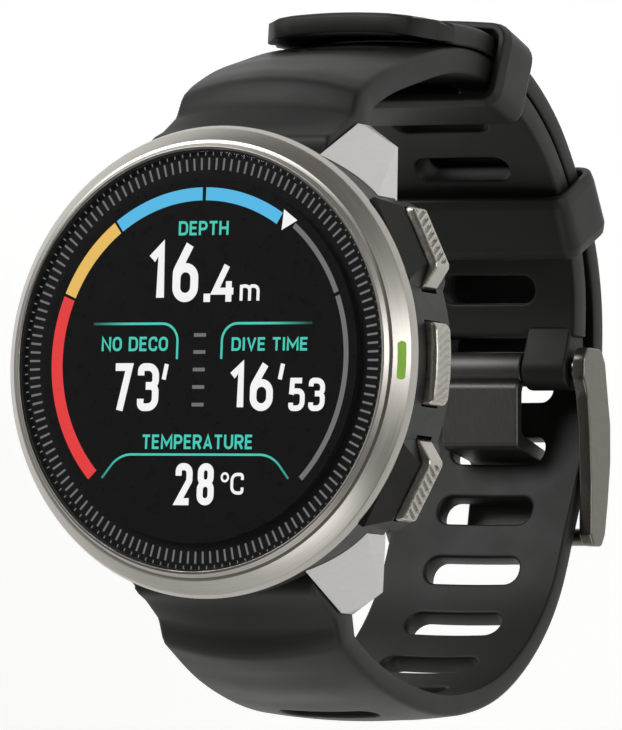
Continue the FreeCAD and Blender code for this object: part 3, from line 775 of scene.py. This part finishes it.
# ============================================================ keepers
def loop_frames(path, at, half_in, below, above, arch, corner=1.2):
    """Frames round the inside of a keeper: point, outward direction, direction along the strap."""
    point, along, out = path.at(at)
    inside = rounded([(-half_in, below, corner * 0.5), (half_in, below, corner * 0.5),
                      (half_in, above, corner), (-half_in, above, corner)], True, 6)
    even = []
    for p, q in zip(inside, inside[1:] + inside[:1]):
        count = max(1, int((q - p).length / 0.9))
        even += [p + (q - p) * k / count for k in range(count)]
    frames = []
    for i, p in enumerate(even):
        t = even[(i + 1) % len(even)] - even[i - 1]
        normal = Vector((t.y, -t.x)).normalized()
        lift = arch * (1 - (p.x / half_in) ** 2) * smooth(below, above, p.y)
        y, z = point + out * (p.y + lift)
        direction = Vector((normal.x, normal.y * out[0], normal.y * out[1])).normalized()
        frames.append((Vector((p.x, y, z)), direction, Vector((0, along[0], along[1]))))
    return frames


def keeper(name, frames, profile, node, body):
    outline = rounded(profile, True, 4)
    return swept(name, frames, [(p.x, p.y) for p in outline], KEEPER, body, node, 50)


STACK_TOP = SHORT_THICK / 2 + GAP + LONG_THICK + CROWN
keeper("keeper_upper", loop_frames(short_path, 29.4, 11.6, -2.9, STACK_TOP - 0.35, 0.55),
       [(0.02, -3.3, 0.25), (0.85, -3.3, 0.35), (1.2, -2.2, 0.6), (1.12, 2.8, 0.9), (0.7, 3.45, 0.3),
        (0.02, 3.35, 0.25)],
       "keeper_free", "upper_keeper")
keeper("keeper_lower", loop_frames(short_path, 51.2, 11.3, -2.25, STACK_TOP + 0.1, 0.45),
       [(0.02, -3.6, 0.25), (0.9, -3.6, 0.35), (1.08, -2.4, 0.6), (1.2, 2.6, 0.9), (0.8, 3.8, 0.4),
        (0.02, 3.7, 0.25)],
       "keeper_locked", "lower_keeper")

# ============================================================ buckle
ARM = [(5.7, -60.3, 1.0), (5.7, -63.3, 1.2), (4.2, -64.3, 1.5), (1.6, -64.9, 4), (-2.4, -65.9, 6),
       (-6.5, -66.2, 8), (-11.0, -65.9, 8), (-14.5, -65.5, 2), (-15.8, -64.8, 0.5), (-15.8, -63.0, 0.7),
       (-14.6, -62.2, 0.8), (-9.0, -61.9, 6), (-3.5, -61.2, 6), (0.6, -60.4, 3), (2.2, -59.5, 1.5),
       (4.6, -59.4, 1.2)]
arm_outline = [(p.x, p.y) for p in rounded(ARM, True, 5)]
for side, tag in ((-1, "left"), (1, "right")):
    prism("buckle_arm_" + tag, arm_outline, lambda a, b, h: Vector((h, a, b)),
          *sorted((side * 11.4, side * 13.0)), BUCKLE, "buckle", "buckle_frame", "dark_steel", 0.3, 30)


def round_bar(name, radius, x0, x1, y, z, material, body, node=(), edge=0.2, bore=0.001):
    profile = rounded([(bore, x0, 0), (radius, x0, edge), (radius, x1, edge), (bore, x1, 0)], True, 4)
    turns = [2 * math.pi * k / 48 for k in range(48)]
    path = [(Vector((0, y, z)), Vector((0, math.cos(t), math.sin(t))), Vector((1, 0, 0))) for t in turns]
    return swept(name, path, [(p.x, p.y) for p in profile], material, body, node, 40)


round_bar("buckle_bar", 0.95, -11.8, 11.8, -14.8, -64.3, BUCKLE, "buckle", ())
round_bar("pin_left", 0.75, -12.95, -10.6, PIN_Y, PIN_Z, BAR, "watch", "buckle_pin", 0.25)
round_bar("pin_right", 0.75, 10.6, 12.95, PIN_Y, PIN_Z, BAR, "watch", (), 0.25)
round_bar("pin_middle", 0.72, -10.6, 10.6, PIN_Y, PIN_Z, BAR, "watch", (), 0.1)
round_bar("pin_boss_left", 1.45, -11.38, -10.75, PIN_Y, PIN_Z, BAR, "watch", (), 0.2)
round_bar("pin_boss_right", 1.45, 10.75, 11.38, PIN_Y, PIN_Z, BAR, "watch", (), 0.2)
TANG_SIDE = [(1.6, -59.3, 0.8), (-5.0, -59.75, 0.6), (-5.5, -60.4, 0.4), (-6.5, -66.0, 1.2),
             (-7.5, -66.6, 0.8), (-15.7, -65.5, 0.4), (-16.2, -65.9, 0.4), (-16.0, -66.7, 0.6),
             (-7.4, -67.8, 1.4), (-5.6, -67.2, 1.2), (-5.1, -66.0, 1.0), (-3.8, -61.2, 0.8),
             (-3.3, -60.8, 0.6), (0.8, -60.6, 0.8), (2.6, -61.2, 0)]
prism("tang_plate", [(p.x, p.y) for p in rounded(TANG_SIDE, True, 5)], lambda a, b, h: Vector((h, a, b)),
      -4.75, 4.75, TANG, "tang", "buckle_tang", "dark_steel", 0.3, 30)
round_bar("tang_barrel", 1.9, -4.72, 4.72, PIN_Y, PIN_Z, TANG, "tang", (), 0.2, 0.85)

# ============================================================ buttons
OUTER_CAP = [(24.9, 4.75, 0.3), (26.3, 4.75, 0.3), (26.85, 4.25, 0.3), (26.85, -2.15, 0.3), (26.6, -2.6, 0.4),
             (24.5, -3.75, 0.4), (23.5, -3.75, 0), (24.9, -1.6, 0)]
MIDDLE_CAP = [(23.7, -4.3, 0), (25.0, -4.3, 0.7), (25.45, -3.7, 1.0), (25.65, -1.2, 4), (25.65, 1.2, 4),
              (25.45, 3.7, 1.0), (25.0, 4.3, 0.7), (23.7, 4.3, 0)]


def button(name, outline, low, high, turn, flip, ribs, node, body):
    """Cap with slanting ribs on its outer side; ribs is (from, to, pitch, depth, slant)."""
    rim = rounded(outline, True, 4)
    fine = []
    for p, q in zip(rim, rim[1:] + rim[:1]):
        count = max(1, int((q - p).length / 0.07)) if min(p.x, q.x) > 23.8 else 1
        fine += [p + (q - p) * k / count for k in range(count)]
    n = len(fine)
    normals = []
    for i in range(n):
        t = fine[(i + 1) % n] - fine[i - 1]
        normals.append(Vector((t.y, -t.x)).normalized())
    centre = sum(fine, Vector((0, 0))) / n
    if sum(normals[i].dot(fine[i] - centre) for i in range(n)) < 0:
        normals = [-v for v in normals]
    start, end, pitch, depth, slant = ribs
    edge = 0.28
    levels = [(low, edge), (low + edge * 0.3, edge * 0.3), (low + edge, 0)]
    levels += [(low + edge + (high - low - 2 * edge) * k / 22, 0) for k in range(1, 22)]
    levels += [(high - edge, 0), (high - edge * 0.3, edge * 0.3), (high, edge)]
    c, s = math.cos(math.radians(turn)), math.sin(math.radians(turn))

    def place(u, v, z):
        x, y = u * c - v * s, u * s + v * c
        return Vector((x, -y if flip else y, z))
    points = []
    for z, inset in levels:
        for p, normal in zip(fine, normals):
            cut = 0.0
            if normal.x > 0.35 and p.x > 24.6:
                along = p.y
                wave = 0.5 - 0.5 * math.cos(2 * math.pi * (along + slant * (z - high)) / pitch)
                cut = depth * (wave ** 1.3) * smooth(start - 0.25, start + 0.15, along)
                cut *= smooth(end + 0.25, end - 0.15, along)
                cut *= smooth(high - 0.2, high - 0.75, z) * smooth(low + 0.1, low + 0.5, z)
            q = p - normal * (inset if p.x > 24.2 else 0) - Vector((cut, 0))
            points.append(place(q.x, q.y, z))
    rows = len(levels)
    faces = grid_faces(rows, n, False, True)
    faces += [tuple(range(n)), tuple((rows - 1) * n + k for k in reversed(range(n)))]
    thing = make_object(name, points, faces, BUTTON, body, node)
    fix_normals(thing)
    thing.data.polygons.foreach_set("use_smooth", [True] * len(thing.data.polygons))
    thing.data.set_sharp_from_angle(angle=math.radians(50))
    return thing


def stem(name, side, turn, flip, cap_back, z, body):
    c, s = math.cos(math.radians(turn)), math.sin(math.radians(turn))
    s = -s if flip else s
    v = -side if flip else side
    profile = rounded([(0.001, 19.2, 0), (0.8, 19.2, 0.1), (0.8, cap_back + 0.3, 0),
                       (0.001, cap_back + 0.3, 0)], True, 3)
    out, across = Vector((c, s, 0)), Vector((-s, c, 0))
    path = [(across * v + Vector((0, 0, z)), across * math.cos(t) + Vector((0, 0, math.sin(t))), out)
            for t in [2 * math.pi * k / 32 for k in range(32)]]
    return swept(name, path, [(p.x, p.y) for p in profile], BUTTON, body, (), 40)


SIDE_ANGLE = 27.5   # the two outer buttons sit this far from 3 o'clock
RIBS = (-2.0, 4.1, 0.82, 0.42, 0.55)
button("cap_top", OUTER_CAP, -8.8, -6.0, SIDE_ANGLE, False, RIBS, "button_top", "top_button")
button("cap_bottom", OUTER_CAP, -8.8, -6.0, SIDE_ANGLE, True, RIBS, "button_bottom", "bottom_button")
button("cap_middle", MIDDLE_CAP, -8.35, -5.35, 0, False, (-4.0, 4.0, 0.82, 0.34, 0.55), "button_middle",
       "middle_button")
stem("stem_top", 1.2, SIDE_ANGLE, False, 24.9, -7.4, "top_button")
stem("stem_bottom", 1.2, SIDE_ANGLE, True, 24.9, -7.4, "bottom_button")
stem("stem_middle", 0.0, 0, False, 23.7, -6.85, "middle_button")

# ============================================================ lugs, case and what stays as it is
for node in ("lug_12_left", "lug_12_right", "lug_6_left", "lug_6_right"):
    softened(node, 0.22, LUG, "watch")
carried = {
    CASE: ("case_body", "case_back"),
    SEAL: ("crystal_gasket", "case_back_gasket", "button_seals"),
    WHITE: ("antenna_ring", "inner_frame"),
    BOARD: ("main_board",),
    CELL: ("battery",),
    BRASS: ("button_bushings",),
    GOLD: ("charging_contacts",),
    DARK: ("sensor_window", "optical_sensor"),
    BAR: ("vibration_motor", "pressure_sensor", "case_back_screws", "spring_bar_12", "spring_bar_6",
          "bar_end_pins", "release_pin_12", "release_pin_6"),
}
for node, material in [(node, material) for material, nodes in carried.items() for node in nodes]:
    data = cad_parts[node].data
    for k in range(max(1, len(data.materials))):
        if k < len(data.materials):
            data.materials[k] = material
        else:
            data.materials.append(material)


def squeezed_spring(node):
    """A CAD spring's shape again, as its own mesh in bar steel, in place of the hidden CAD node."""
    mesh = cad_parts[node].data.copy()
    mesh.materials.clear()
    mesh.materials.append(BAR)
    thing = bpy.data.objects.new(node + "_look", mesh)
    bpy.context.scene.collection.objects.link(thing)
    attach(thing, "watch")
    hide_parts(node)
    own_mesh(thing)


squeezed_spring("spring_top")
squeezed_spring("spring_middle")
squeezed_spring("spring_bottom")
squeezed_spring("bar_spring_12")
squeezed_spring("bar_spring_6")

# ============================================================ floor, light, camera
scene = bpy.context.scene
floor_look = Nodes("floor")
floor_look.colours(floor_look.noise(60, 3), (0.93, 0.93, 0.93, 1), (0.96, 0.96, 0.96, 1))
floor_look.colours(floor_look.noise(90, 3), (0.95, 0.95, 0.95, 1), (1.0, 1.0, 1.0, 1), "Emission Color")
floor_look.shader.inputs["Emission Strength"].default_value = 0.3
floor_look.shader.inputs["Roughness"].default_value = 0.85
mesh = bpy.data.meshes.new("floor")
mesh.from_pydata([Vector((x, y, -0.15)) for x, y in ((-3, -3), (3, -3), (3, 3), (-3, 3))], [], [(0, 1, 2, 3)])
mesh.materials.append(floor_look.material)
floor = bpy.data.objects.new("floor", mesh)
scene.collection.objects.link(floor)


def area(name, place, target, size, power):
    light = bpy.data.lights.new(name, "AREA")
    light.shape, light.size, light.size_y, light.energy = "RECTANGLE", size[0], size[1], power
    lamp = bpy.data.objects.new(name, light)
    lamp.location = place
    lamp.rotation_mode = "QUATERNION"
    lamp.rotation_quaternion = (Vector(target) - Vector(place)).to_track_quat("-Z", "Y")
    scene.collection.objects.link(lamp)
    return lamp


area("key_light", (-0.5, 0.65, 0.62), (0, 0, -0.05), (0.7, 0.5), 6.6)
area("front_light", (0.25, -0.85, 0.5), (0, 0, -0.05), (0.7, 0.35), 2.0)
area("side_light", (0.95, 0.15, 0.4), (0, 0, -0.03), (0.25, 0.6), 2.4)

# studio surroundings: a band of light and dark round the horizon, dimmer overhead
world = bpy.data.worlds.new("studio")
world.use_nodes = True
scene.world = world
nodes, links = world.node_tree.nodes, world.node_tree.links
place = nodes.new("ShaderNodeTexCoord")
around = nodes.new("ShaderNodeTexGradient")
around.gradient_type = "RADIAL"
links.new(place.outputs["Generated"], around.inputs[0])


def world_ramp(source, stops):
    ramp = nodes.new("ShaderNodeValToRGB")
    ramp.color_ramp.interpolation = "EASE"
    elements = ramp.color_ramp.elements
    elements.remove(elements[1])
    for k, (at, level) in enumerate(stops):
        stop = elements[0] if k == 0 else elements.new(at)
        stop.position, stop.color = at, (level, level, level * 0.985, 1)
    links.new(source, ramp.inputs[0])
    return ramp.outputs[0]


HORIZON = [(0.0, 0.5), (0.18, 0.75), (0.3, 0.85), (0.345, 0.1), (0.41, 0.12), (0.45, 0.6), (0.52, 0.95),
           (0.6, 0.45), (0.7, 0.2), (0.82, 0.18), (1.0, 0.5)]
horizon = world_ramp(around.outputs["Fac"], HORIZON)
split = nodes.new("ShaderNodeSeparateXYZ")
links.new(place.outputs["Generated"], split.inputs[0])
overhead = world_ramp(split.outputs["Z"], [(0.0, 1.0), (0.45, 0.9), (0.75, 0.22), (1.0, 0.2)])
product = nodes.new("ShaderNodeMix")
product.data_type, product.blend_type = "RGBA", "MULTIPLY"
product.inputs["Factor"].default_value = 1.0
links.new(horizon, product.inputs[6])
links.new(overhead, product.inputs[7])
links.new(product.outputs[2], nodes["Background"].inputs[0])
nodes["Background"].inputs[1].default_value = 1.0

scene.view_settings.view_transform = "Standard"
camera_data = bpy.data.cameras.new("camera")
camera_data.sensor_width = 36.0
camera_data.lens = 473.8
camera_data.clip_start, camera_data.clip_end = 0.01, 20.0
camera = bpy.data.objects.new("camera", camera_data)
right, upward, back = (0.8609, 0.0344, -0.5076), (0.0024, 0.9974, 0.0716), (0.5088, -0.0629, 0.8586)
eye = (0.518897, -0.063002, 0.852601)
camera.matrix_world = Matrix([[right[i], upward[i], back[i], eye[i]] for i in range(3)] + [[0, 0, 0, 1]])
scene.collection.objects.link(camera)
scene.camera = camera
